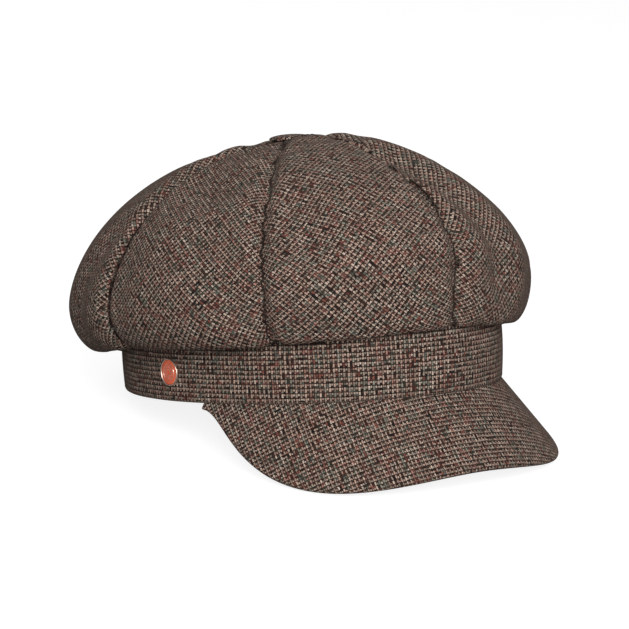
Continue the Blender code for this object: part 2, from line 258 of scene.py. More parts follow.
class Graph:
    """Short names for the few node kinds that the materials are made of."""

    def __init__(self, name):
        self.material = bpy.data.materials.new(name)
        self.material.use_nodes = True
        self.tree = self.material.node_tree
        self.shader = self.tree.nodes["Principled BSDF"]

    def put(self, value, socket):
        if isinstance(value, bpy.types.NodeSocket):
            self.tree.links.new(value, socket)
        elif isinstance(value, tuple) and socket.type == "RGBA":
            socket.default_value = (*value, 1.0)
        else:
            socket.default_value = value

    def node(self, kind, inputs, output=0, **settings):
        """A node with these values or sockets in its inputs, as the output that is wanted from it."""
        made = self.tree.nodes.new(kind)
        for setting, value in settings.items():
            setattr(made, setting, value)
        for socket, value in inputs.items():
            self.put(value, made.inputs[socket])
        return made.outputs[output]

    def math(self, operation, *values):
        return self.node("ShaderNodeMath", dict(enumerate(values)), operation=operation)

    def times(self, first, second):
        return self.math("MULTIPLY", first, second)

    def minus(self, first, second):
        return self.math("SUBTRACT", first, second)

    def most(self, first, second):
        return self.math("MAXIMUM", first, second)

    def scaled(self, value, scale, start):
        """The value times the scale, counted from the start."""
        return self.math("MULTIPLY_ADD", value, scale, start)

    def mix(self, share, first, second, blend="MIX"):
        """Mixes two colours."""
        inputs = {0: share, 6: first, 7: second}
        return self.node("ShaderNodeMix", inputs, 2, data_type="RGBA", blend_type=blend)

    def choose(self, share, first, second):
        """The first value where share is 0, the second where it is 1."""
        return self.node("ShaderNodeMix", {0: share, 2: first, 3: second}, data_type="FLOAT")

    def join(self, *parts):
        """A vector of up to three parts."""
        return self.node("ShaderNodeCombineXYZ", dict(enumerate(parts)))

    def apart(self, vector):
        """The vector's three parts."""
        return self.node("ShaderNodeSeparateXYZ", {0: vector}, slice(None))

    def place(self):
        """The shaded point's place on the flat cloth, x and y, and how near it is to a seam."""
        return self.apart(self.node("ShaderNodeAttribute", {}, "Vector", attribute_name=CLOTH_PLACE))

    def position(self):
        return self.node("ShaderNodeTexCoord", {}, "Object")

    def grazing(self):
        """0 where the surface faces the viewer, towards 1 where it is seen along."""
        return self.node("ShaderNodeLayerWeight", {"Blend": 0.5}, "Facing")

    def noise(self, vector, scale, detail=2.0, roughness=0.5):
        """Smooth noise from 0 to 1."""
        inputs = {"Vector": vector, "Scale": scale, "Detail": detail, "Roughness": roughness}
        return self.node("ShaderNodeTexNoise", inputs, "Fac")

    def random(self, vector):
        """A value from 0 to 1 that is the same wherever the vector is."""
        return self.node("ShaderNodeTexWhiteNoise", {"Vector": vector}, "Value", noise_dimensions="3D")

    def ramp(self, value, low, high):
        """Brings the stretch from low to high onto 0 to 1, gently at both ends."""
        inputs = {"Value": value, "From Min": low, "From Max": high}
        return self.node("ShaderNodeMapRange", inputs, "Result", interpolation_type="SMOOTHSTEP")

    def ribs(self, along, spacing):
        """Rises and falls between -1 and 1, once in each spacing."""
        return self.math("SINE", self.times(along, 2 * math.pi / spacing))

    def bump(self, height, distance, strength):
        inputs = {"Height": height, "Distance": distance, "Strength": strength}
        self.put(self.node("ShaderNodeBump", inputs, "Normal"), self.shader.inputs["Normal"])

    def finish(self, colour, roughness, **others):
        self.put(colour, self.shader.inputs["Base Color"])
        self.put(roughness, self.shader.inputs["Roughness"])
        for name, value in others.items():
            self.put(value, self.shader.inputs[INPUT_NAMES.get(name, name.replace("_", " ").title())])
        return self.material


YARN_PITCH = 1.1 * MM
PALE_YARN = (0.345, 0.240, 0.190)
PALE_SHADES = (((0.27, 0.140, 0.112), 0.06), ((0.22, 0.205, 0.165), 0.05), ((0.42, 0.33, 0.27), 0.05))
DARK_YARN = (0.040, 0.021, 0.016)
DARK_SHADES = (((0.070, 0.026, 0.021), 0.06), ((0.045, 0.040, 0.030), 0.06), ((0.018, 0.012, 0.011), 0.05))
PALE_WIDTH = 0.90
DARK_WIDTH = 0.96
DOWN_LENGTH = 1.6
OUT_LENGTH = 0.78
SHORT_STROKES = 0.09
# The colour of painted shade in the gaps between the yarns and along the seams.
GAP_SHADE_COLOUR = (0.012, 0.007, 0.0055)
NAP_COLOUR = (0.112, 0.076, 0.060)
FLECK_WARM = (0.17, 0.060, 0.046)
FLECK_COOL = (0.095, 0.100, 0.085)


def yarn_colour(graph, number, along, base, shades):
    """A yarn's own colour: its base shade, drifting through the other shades along its length."""
    colour = base
    for count, (shade, share) in enumerate(shades):
        own = graph.times(number, 7.31 + count)
        patch = graph.noise(graph.join(own, along, 3.7 * count), 1.0, 1.0)
        colour = graph.mix(graph.ramp(patch, 0.60 - share, 0.68 - share), colour, shade)
    return colour


def wandering(graph, place, spot, seed):
    """The place in yarns across a set of yarns that don't run quite straight."""
    slow = graph.noise(graph.join(spot[0], spot[1], seed), 160.0)
    quick = graph.noise(graph.join(spot[0], spot[1], seed + 5.0), 520.0)
    sway = graph.scaled(slow, 0.8, graph.times(quick, 0.45))
    return graph.scaled(place, 1 / YARN_PITCH, sway)


def stroke_height(graph, across, along, width):
    """The height of a yarn where it shows: round across, from 0 to 1, diving under at 0 and 2 along."""
    offset = graph.math("DIVIDE", graph.scaled(across, 2.0, -1.0), width)
    round_across = graph.minus(1.0, graph.times(offset, offset))
    from_middle = graph.math("ABSOLUTE", graph.minus(along, 1.0))
    round_along = graph.minus(1.0, graph.math("POWER", from_middle, 3.0))
    product = graph.times(graph.most(round_across, 0.0), round_along)
    return graph.math("SQRT", graph.most(product, 0.0))


def tweed_material():
    """Coarse tweed with one pale and one dark yarn in turn, both ways.

    Each repeat is two yarns by two. In most of them a pale stroke runs down from the top left, and a
    shorter one runs out from its top to the right, so that they make small hooks on dark cloth.
    """
    graph = Graph("tweed")
    x, y, seam = graph.place()
    u = wandering(graph, x, (x, y), 0.0)
    v = wandering(graph, y, (x, y), 11.0)
    across_repeat = graph.math("FLOORED_MODULO", u, 2.0)
    up_repeat = graph.math("FLOORED_MODULO", v, 2.0)
    column = graph.math("ROUND", graph.minus(u, across_repeat))
    row = graph.math("ROUND", graph.minus(v, up_repeat))
    slub = graph.scaled(graph.noise(graph.join(u, v, 4.4), 0.5, 1.0), 0.5, 0.72)
    thickness = graph.times(slub, PALE_WIDTH)

    # The two pale strokes of the repeat, some of them cut short or left out.
    short = graph.random(graph.join(column, row, 2.5))
    length = graph.choose(graph.math("LESS_THAN", short, SHORT_STROKES), DOWN_LENGTH, 1.0)
    down = graph.math("DIVIDE", graph.scaled(up_repeat, -2.0, 4.0), length)
    down_height = stroke_height(graph, across_repeat, down, thickness)
    shown = graph.math("GREATER_THAN", graph.random(graph.join(column, row, 6.5)), SHORT_STROKES)
    out = graph.scaled(across_repeat, 2.0 / OUT_LENGTH, -2.0 / OUT_LENGTH)
    out_height = stroke_height(graph, graph.minus(up_repeat, 1.0), out, thickness)
    out_height = graph.times(out_height, shown)
    pale_height = graph.most(down_height, out_height)
    pale = graph.ramp(pale_height, 0.10, 0.35)
    is_out = graph.math("GREATER_THAN", out_height, down_height)

    # The dark cloth between them, one yarn wide.
    across = graph.math("FRACT", u)
    along = graph.times(graph.math("FRACT", v), 2.0)
    height = graph.most(stroke_height(graph, across, along, DARK_WIDTH), pale_height)

    # Fibres, flecks, and a little more or less light on every stroke.
    kind = graph.scaled(is_out, 3.0, graph.times(pale, 2.0))
    stroke = graph.math("ROUND", kind)
    fibre = graph.noise(graph.join(x, y), 4600.0, 3.0, 0.7)
    fuzz = graph.noise(graph.join(y, x, 1.7), 1500.0, 3.0, 0.65)
    own = graph.random(graph.join(column, row, graph.math("ADD", stroke, 0.5)))
    lustre = graph.random(graph.join(column, row, graph.math("ADD", stroke, 9.5)))
    number = graph.choose(is_out, column, graph.math("ADD", row, 517.0))
    drift = graph.times(graph.choose(is_out, v, u), 0.21)
    dark_yarn = yarn_colour(graph, number, drift, DARK_YARN, DARK_SHADES)
    pale_yarn = yarn_colour(graph, number, drift, PALE_YARN, PALE_SHADES)
    colour = graph.mix(pale, dark_yarn, pale_yarn)
    colour = graph.mix(graph.ramp(own, 0.965, 0.975), colour, FLECK_WARM)
    colour = graph.mix(graph.ramp(own, 0.030, 0.020), colour, FLECK_COOL)
    brightness = graph.scaled(lustre, 0.75, 0.60)
    # Painted shade: each stroke is darker where it lies low and dives under, times a random tone of its
    # own.
    shade = graph.times(graph.scaled(height, 0.8, 0.25), brightness)
    shade = graph.times(shade, graph.scaled(fibre, 0.7, 0.65))
    colour = graph.mix(1.0, colour, graph.join(shade, shade, shade), "MULTIPLY")
    # Painted shade fills the low gaps between the yarns.
    colour = graph.mix(graph.ramp(height, 0.45, 0.05), colour, GAP_SHADE_COLOUR)

    # The nap hides the weave in wisps, and wholly where the cloth is seen along. Seams get painted shade.
    wisps = graph.times(graph.ramp(fuzz, 0.5, 0.8), 0.55)
    along_cloth = graph.times(graph.ramp(graph.grazing(), 0.68, 0.98), 0.85)
    colour = graph.mix(graph.most(wisps, along_cloth), colour, NAP_COLOUR)
    colour = graph.mix(graph.times(graph.ramp(seam, 0.2, 0.9), 0.85), colour, GAP_SHADE_COLOUR)
    relief = graph.math("ADD", graph.times(height, 0.7), graph.times(fibre, 0.4))
    graph.bump(relief, 0.45 * MM, 0.7)
    sheen = {"sheen_weight": 0.06, "sheen_roughness": 0.5, "sheen_tint": (0.6, 0.5, 0.43)}
    return graph.finish(colour, 0.95, specular_ior_level=0.12, **sheen)


def satin_material():
    graph = Graph("satin_lining")
    x, y, _ = graph.place()
    spot = graph.join(x, y)
    ribs = graph.ribs(y, 0.35 * MM)
    slub = graph.noise(graph.join(graph.times(x, 0.06), y), 1400.0, 2.0)
    wear = graph.noise(spot, 45.0, 3.0)
    colour = graph.mix(graph.ramp(wear, 0.35, 0.7), (0.030, 0.018, 0.014), (0.050, 0.031, 0.024))
    colour = graph.mix(graph.times(slub, 0.5), colour, (0.085, 0.055, 0.042))
    roughness = graph.scaled(wear, 0.25, 0.3)
    graph.bump(graph.scaled(ribs, 0.2, slub), 0.05 * MM, 0.5)
    return graph.finish(colour, roughness, sheen_weight=0.25, anisotropic=0.5)


def ribbon_material():
    """A close-ribbed ribbon, its ribs square to its length."""
    graph = Graph("ribbon")
    x, y, _ = graph.place()
    ribs = graph.ribs(x, 0.9 * MM)
    threads = graph.noise(graph.join(x, graph.times(y, 6.0)), 1800.0, 2.0)
    wear = graph.noise(graph.join(x, y), 60.0, 3.0)
    colour = graph.mix(graph.ramp(ribs, -1.0, 1.0), (0.014, 0.010, 0.008), (0.040, 0.029, 0.024))
    colour = graph.mix(graph.times(threads, 0.35), colour, (0.09, 0.07, 0.06))
    roughness = graph.scaled(wear, 0.3, 0.5)
    graph.bump(graph.scaled(threads, 0.3, ribs), 0.12 * MM, 0.7)
    return graph.finish(colour, roughness, sheen_weight=0.2)


def plain_weave_material(name, thread, pale, dark, roughness):
    """A fine plain weave, used for the canvas, the label and the felt."""
    graph = Graph(name)
    spot = graph.position()
    x, _, z = graph.apart(spot)
    weave = graph.times(graph.ribs(x, thread), graph.ribs(z, thread))
    blotch = graph.noise(spot, 700.0, 3.0)
    share = graph.scaled(weave, 0.25, blotch)
    colour = graph.mix(graph.ramp(share, 0.2, 0.8), dark, pale)
    graph.bump(share, 0.1 * MM, 0.6)
    return graph.finish(colour, roughness, sheen_weight=0.2)


def metal_material(name, colour, roughness):
    graph = Graph(name)
    spot = graph.position()
    wear = graph.noise(spot, 380.0, 4.0)
    lines = graph.noise(spot, 3200.0, 2.0)
    tint = graph.mix(graph.ramp(wear, 0.35, 0.75), colour, tuple(part * 0.78 for part in colour))
    rough = graph.scaled(wear, 0.12, roughness)
    graph.bump(lines, 0.02 * MM, 0.3)
    return graph.finish(tint, rough, metallic=1.0)


def enamel_material():
    graph = Graph("enamel")
    spot = graph.position()
    cloud = graph.noise(spot, 420.0, 3.0)
    colour = graph.mix(graph.ramp(cloud, 0.3, 0.7), (0.74, 0.125, 0.055), (0.84, 0.175, 0.085))
    rough = graph.scaled(cloud, 0.2, 0.3)
    graph.bump(cloud, 0.03 * MM, 0.2)
    return graph.finish(colour, rough, specular_ior_level=0.3)


def grained_material(name, scale, detail, dark, pale, relief, strength, roughness, sheen=0.0):
    """A material of one grain, used for the visor's board and for sewing thread."""
    graph = Graph(name)
    grain = graph.noise(graph.position(), scale, detail)
    graph.bump(grain, relief, strength)
    return graph.finish(graph.mix(grain, dark, pale), roughness, sheen_weight=sheen)


TWEED = tweed_material()
SATIN = satin_material()
RIBBON = ribbon_material()
CANVAS = plain_weave_material("canvas", 0.8 * MM, (0.52, 0.47, 0.39), (0.36, 0.32, 0.26), 0.9)
LABEL = plain_weave_material("label_weave", 0.4 * MM, (0.62, 0.58, 0.50), (0.48, 0.44, 0.37), 0.7)
FELT = plain_weave_material("felt", 0.3 * MM, (0.055, 0.042, 0.034), (0.025, 0.019, 0.016), 0.95)
GILT = metal_material("rose_gilt", (0.98, 0.74, 0.62), 0.32)
STEEL = metal_material("pressed_steel", (0.56, 0.56, 0.57), 0.34)
ENAMEL = enamel_material()
BOARD_SHADES = ((0.035, 0.035, 0.036), (0.06, 0.06, 0.06))
BOARD = grained_material("visor_board", 2600.0, 3.0, *BOARD_SHADES, 0.04 * MM, 0.5, 0.6)
THREAD_SHADES = ((0.020, 0.014, 0.012), (0.060, 0.042, 0.034))
THREAD = grained_material("sewing_thread", 4200.0, 2.0, *THREAD_SHADES, 0.06 * MM, 0.6, 0.55, 0.15)

# ---------------------------------------------------------------- the crown

PANEL_NAMES = (
    "front_left",
    "front_side_left",
    "rear_side_left",
    "rear_left",
    "rear_right",
    "rear_side_right",
    "front_side_right",
    "front_right",
)
SEAM_DEGREES = (3.0, 49.0, 97.0, 139.0, 180.0, 221.0, 263.0, 312.0, 363.0)
SEAM_ANGLES = tuple(math.radians(angle) for angle in SEAM_DEGREES)

CROWN_HALF_WIDTH = 106.5 * MM
CROWN_REACH_FRONT = 111.5 * MM
CROWN_REACH_REAR = 129.5 * MM
# Groups of four are for the front, the wearer's left, the rear and the wearer's right.
WIDEST_HEIGHT = (64.0 * MM, 40.5 * MM, 37.0 * MM, 44.0 * MM)
OVERHANG_HEIGHT = (29.5 * MM, 22.0 * MM, 15.0 * MM, 26.0 * MM)
OVERHANG_DROOP = (0.5 * MM, 1.0 * MM, 3.5 * MM, 1.0 * MM)
LOW_LINE_SHARE = 0.32
CROWN_FLATNESS = 1.2
FULLNESS = (4.6 * MM, 2.4 * MM, -4.0 * MM, 0.2 * MM)
FULLNESS_SCALE = 27 / 4
PANEL_PINCH = 0.016
APEX_OPENING = 3.6 * MM
CROWN_OFF_BAND = 0.5 * MM
BAND_CLEAR = 0.4 * MM
CLOTH_THICK = 1.6 * MM

# A seam's dip and how far it reaches, and the faint ridge of turned cloth beside it.
SEAM_DEPTH = 2.3 * MM
SEAM_REACH = 3.0 * MM
SEAM_RIDGE = 0.5 * MM
RIDGE_PLACE = 7.5 * MM
SEAM_ROOM = 24.0 * MM
SEAM_GAP = 0.12 * MM
# How far from a seam the painted seam shade reaches.
SEAM_SHADE = 1.3 * MM

# A panel's edge is taken as a curve of this degree when the cloth is laid flat. The panels are cut this far
# apart on the cloth, in metres.
EDGE_DEGREE = 4
LEAST_HALF_WIDTH = 3.0 * MM
CUT_APART = (0.31, 0.17)
PANEL_COLUMNS = 25
PANEL_ROWS = 64

# The soft folds that a worn cap keeps: the panel, the fold's two ends as (from seam to seam, from the apex
# down), its half width and its depth.
FOLDS = (
    ("front_left", (-0.74, 0.36), (-0.28, 0.80), 9.0 * MM, 4.2 * MM),
    ("front_right", (-0.62, 0.50), (-0.50, 0.68), 11.0 * MM, 1.6 * MM),
    ("front_right", (0.20, 0.56), (0.62, 0.60), 9.0 * MM, 0.9 * MM),
    ("front_side_right", (-0.50, 0.34), (0.10, 0.42), 11.0 * MM, 1.8 * MM),
    ("front_side_right", (0.30, 0.58), (0.82, 0.80), 11.0 * MM, 2.2 * MM),
    ("front_side_right", (-0.90, 0.60), (-0.80, 0.74), 9.0 * MM, 1.6 * MM),
    ("rear_side_right", (0.70, 0.56), (0.30, 0.78), 10.0 * MM, 1.6 * MM),
    ("rear_right", (-0.20, 0.50), (0.35, 0.72), 11.0 * MM, 2.0 * MM),
    ("rear_left", (0.55, 0.42), (0.15, 0.74), 10.0 * MM, 2.2 * MM),
    ("rear_side_left", (-0.60, 0.46), (-0.10, 0.76), 10.0 * MM, 2.4 * MM),
    ("front_side_left", (0.45, 0.40), (-0.10, 0.62), 11.0 * MM, 2.2 * MM),
    ("front_side_left", (-0.78, 0.62), (-0.35, 0.80), 9.0 * MM, 1.8 * MM),
)
FOLD_RIDGE = 0.35
FOLD_RIDGE_PLACE = 1.9

# The cloth simulation, and how firmly the ends, the seams and the rest of the cloth are held.
CLOTH_FRAMES = 20
CLOTH_PRESSURE = 1.6
CLOTH_SLACK = 0.012
CLOTH_WEIGHT = 0.02
HELD_ROWS = 3
HOLD_SEAM = 0.4
HOLD_CLOTH = 0.05
MOST_CLOTH_MOVE = 4.5 * MM


def dome_line(angle, widest, widest_height, top, steps):
    """From the apex out to the widest line."""
    start = 2 / math.pi * math.asin(APEX_OPENING / np.linalg.norm(widest))
    points = []
    for step in range(steps + 1):
        turn = math.pi / 2 * (start + (1 - start) * step / steps)
        outwards = math.sin(turn)
        full = by_direction(FULLNESS, angle) * FULLNESS_SCALE * outwards * (1 - outwards) ** 2
        height = widest_height + (top - widest_height) * max(0.0, math.cos(turn)) ** CROWN_FLATNESS + full
        points.append(widest * outwards + np.array([0.0, CROWN_TOP_BACK * (1 - outwards), height]))
    return points


def crown_widest(angle, share):
    """Where the crown reaches furthest in this direction, as a level vector from the head's axis."""
    reach = CROWN_REACH_FRONT if math.cos(angle) > 0 else CROWN_REACH_REAR
    return share * np.array([CROWN_HALF_WIDTH * math.sin(angle), -reach * math.cos(angle), 0.0])


def crown_line(angle, across):
    """One line of the crown from its apex, over the overhang and back up to the top of the band."""
    swell = 1 - across**2
    widest = crown_widest(angle, 1 - PANEL_PINCH * across**4)
    widest_height = by_direction(WIDEST_HEIGHT, angle)
    low_height = by_direction(OVERHANG_HEIGHT, angle) - by_direction(OVERHANG_DROOP, angle) * swell
    points = dome_line(angle, widest, widest_height, CROWN_TOP, 40)
    base = around_head(angle, CROWN_OFF_BAND)
    spread = widest - base
    for turn in np.linspace(0.0, math.pi / 2, 17)[1:]:
        reach = LOW_LINE_SHARE + (1 - LOW_LINE_SHARE) * math.cos(turn)
        height = widest_height - (widest_height - low_height) * math.sin(turn)
        points.append(base + spread * reach + np.array([0.0, 0.0, height]))
    for turn in np.linspace(0.0, math.pi / 2, 11)[1:]:
        reach = LOW_LINE_SHARE * (1 - math.sin(turn))
        height = BAND_HEIGHT - (BAND_HEIGHT - low_height) * math.cos(turn)
        points.append(base + spread * reach + np.array([0.0, 0.0, height]))
    return evenly(np.array(points), PANEL_ROWS)


def panel_grids(line, columns):
    """The points of all eight panels, each as columns of points, neighbours sharing their seam.

    The columns lie closer together towards the seams.
    """
    steps = np.sin(np.linspace(-math.pi / 2, math.pi / 2, columns))
    grids = []
    for first, last in zip(SEAM_ANGLES, SEAM_ANGLES[1:]):
        middle, half = (first + last) / 2, (last - first) / 2
        grids.append([line(middle + across * half, across) for across in steps])
    return np.array(grids)


def flat_panel(grid):
    """Where each point of a panel lies on the flat cloth, its middle line running up it.

    The rows bend as they do on a cut panel, which keeps them square to its slanting edges.
    """
    middle = len(grid) // 2
    across = np.cumsum(np.linalg.norm(np.diff(grid, axis=0, prepend=grid[:1]), axis=2), axis=0)
    across -= across[middle : middle + 1]
    along = distances_along(grid[middle])
    edge = np.polyfit(along, (across[-1] - across[0]) / 2, EDGE_DEGREE)
    bend = np.polyval(np.polyder(edge), along) / np.maximum(np.polyval(edge, along), LEAST_HALF_WIDTH)
    return np.stack([across, along - across**2 * bend / 2], axis=2)


def press_fold(grid, start, end, half_width, depth):
    """Presses one soft fold into a panel, deepest at its middle, with a low ridge on either side."""
    flat = flat_panel(grid)
    length = flat[:, -1, 1].mean()
    ends = []
    for across, down in (start, end):
        row = round(down * (PANEL_ROWS - 1))
        ends.append(np.array([across * flat[-1, row, 0], down * length]))
    line = ends[1] - ends[0]
    share = np.clip((flat - ends[0]) @ line / (line @ line), 0.0, 1.0)
    away = np.linalg.norm(flat - ends[0] - share[:, :, None] * line, axis=2) / half_width
    dent = np.exp(-(away**2)) - FOLD_RIDGE * np.exp(-((away - FOLD_RIDGE_PLACE) ** 2))
    room = np.clip((flat[-1:, :, 0] - np.abs(flat[:, :, 0])) / half_width, 0.0, 1.0)
    return grid - outward_normals(grid) * (dent * depth * np.sqrt(room))[:, :, None]


def crown_cloth(joined):
    """The joined crown as one cloth object, with how firmly each point is held."""
    columns = len(joined)
    faces = []
    for column in range(columns):
        for row in range(PANEL_ROWS - 1):
            here = column * PANEL_ROWS + row
            beside = (column + 1) % columns * PANEL_ROWS + row
            faces.append((here, here + 1, beside + 1, beside))
    cloth_object = add_object("crown_cloth", make_mesh("crown_cloth", joined.reshape(-1, 3), faces))
    held = cloth_object.vertex_groups.new(name="held")
    for column in range(columns):
        on_seam = column % (PANEL_COLUMNS - 1) == 0
        for row in range(PANEL_ROWS):
            fixed = row < HELD_ROWS or row >= PANEL_ROWS - HELD_ROWS
            weight = 1.0 if fixed else HOLD_SEAM if on_seam else HOLD_CLOTH
            held.add([column * PANEL_ROWS + row], weight, "REPLACE")
    return cloth_object


def joined_panels(grids):
    """The panels as one closed ring of columns, each seam kept once."""
    return grids[:, :-1].reshape(-1, PANEL_ROWS, grids.shape[-1])


def parted_panels(ring):
    """The eight panels of a closed ring of columns, neighbours sharing their seam."""
    step = PANEL_COLUMNS - 1
    closed = np.concatenate([ring, ring[:1]])
    return np.array([closed[first : first + PANEL_COLUMNS] for first in range(0, len(ring), step)])


def settle_crown(joined):
    """Lets the crown fill and settle as cloth, cut a little large and held at its apex, seams and band."""
    cloth_object = crown_cloth(joined)
    cloth = cloth_object.modifiers.new("cloth", "CLOTH")
    settings = cloth.settings
    settings.quality = 6
    settings.mass = 0.2
    settings.tension_stiffness = 12.0
    settings.compression_stiffness = 12.0
    settings.shear_stiffness = 6.0
    settings.bending_stiffness = 1.5
    settings.vertex_group_mass = "held"
    settings.use_pressure = True
    settings.uniform_pressure_force = CLOTH_PRESSURE
    settings.shrink_min = -CLOTH_SLACK
    settings.effector_weights.gravity = CLOTH_WEIGHT
    cloth.collision_settings.use_collision = False
    for step in range(1, CLOTH_FRAMES + 1):
        bpy.context.scene.frame_set(step)
    settled = cloth_object.evaluated_get(bpy.context.evaluated_depsgraph_get()).data
    found = np.empty(len(settled.vertices) * 3)
    settled.vertices.foreach_get("co", found)
    bpy.data.objects.remove(cloth_object)
    bpy.context.scene.frame_set(1)

    moved = (found.reshape(-1, 3) - to_world(joined.reshape(-1, 3))) @ np.array(HEAD_TURN)
    length = np.linalg.norm(moved, axis=1, keepdims=True)
    moved *= np.minimum(1.0, MOST_CLOTH_MOVE / np.maximum(length, 1e-9))
    return joined + moved.reshape(joined.shape)


def from_seams(grid):
    """How far each point lies from the nearer of the panel's two seams, and the panel's width there."""
    from_first = np.cumsum(np.linalg.norm(np.diff(grid, axis=0, prepend=grid[:1]), axis=2), axis=0)
    return np.minimum(from_first, from_first[-1:] - from_first), from_first[-1:]


def part_edges(grid, gap):
    """Draws a panel's two long edges this far away from the seams, so that neighbours don't touch."""
    parted = grid.copy()
    for edge, inner in ((0, 1), (-1, -2)):
        parted[edge] += unit(grid[inner] - grid[edge]) * gap
    return parted


def sink_seams(ring):
    """Draws the cloth in towards its seams, with the faint ridge of the turned cloth beside them."""
    lifts = []
    for grid in parted_panels(ring):
        nearest, width = from_seams(grid)
        sink = SEAM_DEPTH * np.exp(-((nearest / SEAM_REACH) ** 2))
        ridge = SEAM_RIDGE * np.exp(-(((nearest - RIDGE_PLACE) / SEAM_REACH) ** 2))
        lifts.append((ridge - sink) * np.minimum(1.0, width / SEAM_ROOM))
    lift = joined_panels(np.array(lifts)[:, :, :, None])
    return ring + outward_normals(ring, closed=True) * lift


def keep_off_band(grid):
    """Pushes out any cloth that has settled into the band."""
    level = grid[:, :, :2] / np.array([BAND_HALF_WIDTH + BAND_CLEAR, BAND_HALF_LENGTH + BAND_CLEAR])
    scale = np.linalg.norm(level, axis=2)
    inside = (grid[:, :, 2] < BAND_HEIGHT) & (scale < 1)
    out = grid.copy()
    out[:, :, :2] *= np.where(inside, 1 / np.maximum(scale, 0.5), 1.0)[:, :, None]
    return out


def add_thick_sheet(name, grid, places, thickness, material, node):
    """A smooth sheet on the cap with its outer face on the grid and its thickness inside it."""
    columns, rows = grid.shape[:2]
    mesh = make_mesh(name, grid.reshape(-1, 3), grid_faces(columns, rows), places)
    top_face = max(mesh.polygons, key=lambda face: face.center.dot(UP))
    if top_face.normal.dot(UP) < 0:
        mesh.flip_normals()
    piece = add_to_body("cap", mesh, material, node)
    smooth = piece.modifiers.new("smooth", "SUBSURF")
    smooth.levels = smooth.render_levels = 1
    thicken(piece, thickness)


def add_crown():
    """Eight panels, cut on the cross so that the weave lies at 45 degrees to each panel's middle line."""
    grids = panel_grids(crown_line, PANEL_COLUMNS)
    for name, *fold in FOLDS:
        number = PANEL_NAMES.index(name)
        grids[number] = press_fold(grids[number], *fold)
    ring = joined_panels(grids)
    ring = settle_crown(ring)
    panels = parted_panels(keep_off_band(sink_seams(ring)))
    for number, name in enumerate(PANEL_NAMES):
        grid = part_edges(panels[number], SEAM_GAP / 2)
        flat = turned(math.pi / 4, flat_panel(grid)) + np.array(CUT_APART) * number
        # How near each point is to a seam, for the painted shade along the seams.
        shade = np.clip(1 - from_seams(grid)[0] / SEAM_SHADE, 0.0, 1.0)
        places = np.dstack([flat, shade])
        add_thick_sheet(f"crown_panel_{name}", grid, places, CLOTH_THICK, TWEED, f"crown_{name}")


# ---------------------------------------------------------------- the lining

LINING_SHARE = 0.9
LINING_DROP = 8.0 * MM
LINING_WIDEST = 48.0 * MM
LINING_THICK = 0.35 * MM
LINING_SLACK = 0.6 * MM
LINING_PINCH = 0.012
LINING_ABOVE_BAND = 1.0 * MM
LINING_RIPPLE = 0.9 * MM
LINING_COLUMNS = 13
LINING_ROWS = 34
SWEATBAND_THICK = 0.8 * MM
SWEATBAND_OUT = SWEATBAND_THICK - LAYERS_THICK


def lining_line(angle, across):
    """One line of the lining from its apex to just above the sweatband, loose between its seams."""
    widest = crown_widest(angle, LINING_SHARE * (1 - LINING_PINCH * across**4))
    points = dome_line(angle, widest, LINING_WIDEST, CROWN_TOP - LINING_DROP, 24)
    base = around_head(angle, SWEATBAND_OUT)
    end_height = BAND_HEIGHT + LINING_ABOVE_BAND
    for turn in np.linspace(0.0, math.pi / 2, 13)[1:]:
        height = LINING_WIDEST - (LINING_WIDEST - end_height) * math.sin(turn)
        points.append(base + (widest - base) * math.cos(turn) + np.array([0.0, 0.0, height]))
    line = evenly(np.array(points), LINING_ROWS)
    sag = LINING_SLACK * (1 - across**2) + LINING_RIPPLE * math.sin(5.0 * angle + 3.0 * across)
    line[:, 2] -= sag * np.sin(np.linspace(0, math.pi, LINING_ROWS))
    return line


def add_lining():
    for name, whole in zip(PANEL_NAMES, panel_grids(lining_line, LINING_COLUMNS)):
        grid = part_edges(whole, SEAM_GAP)
        places = flat_panel(grid)
        add_thick_sheet(f"lining_panel_{name}", grid, places, LINING_THICK, SATIN, f"lining_{name}")


# ---------------------------------------------------------------- the band and the sweatband

BAND_BULGE = 0.7 * MM
BAND_CORNER = 1.0 * MM
BAND_RIPPLE = 0.25 * MM
REAR_SEAM = 0.0006
SWEATBAND_LOW = 0.8 * MM
SWEATBAND_HIGH = 31.0 * MM
STITCHES = 150
STITCH_HEIGHT = 3.2 * MM
STITCH_OUT = -LAYERS_THICK - 0.05 * MM
STITCH_LENGTH = 2.4 * MM
STITCH_RADIUS = 0.22 * MM


def rounded_section(inner, outer, low, high, bulge, corner, steps):
    """The outline of a soft strip standing up: (outwards, height) pairs, its outer face slightly full."""
    points = []
    for share in np.linspace(0.0, 1.0, steps + 1):
        height = low + corner + (high - low - 2 * corner) * share
        points.append((outer + bulge * math.sin(math.pi * share), height))
    points += [(outer - corner * 0.3, high - corner * 0.3), (outer - corner, high)]
    points += [(inner + corner / 2, high), (inner, high - corner / 2)]
    for share in np.linspace(1.0, 0.0, steps + 1):
        points.append((inner, low + corner + (high - low - 2 * corner) * share))
    points += [(inner, low + corner / 2), (inner + corner / 2, low)]
    points += [(outer - corner, low), (outer - corner * 0.3, low + corner * 0.3)]
    return points


def add_strip(name, section, middle, half_arc, stations, material, node, ripple=0.0):
    """A strip round the head, its section held square to the band, with a slight unevenness."""
    run = distances_along(np.array([(outwards, height, 0.0) for outwards, height in section]))
    sections, places = [], []
    walked = 0.0
    for angle in np.linspace(middle - half_arc, middle + half_arc, stations):
        here = around_head(angle, section[0][0])
        if sections:
            walked += np.linalg.norm(here - before)
        before = here
        line = []
        for outwards, height in section:
            wave = math.sin(7 * angle + 60 * height) + 0.6 * math.sin(13 * angle + 1.3)
            line.append(around_head(angle, outwards + ripple * wave, height))
        sections.append(line)
        places.append([(walked, distance) for distance in run])
    add_to_body("cap", loft_mesh(name, sections, np.array(places)), material, node)


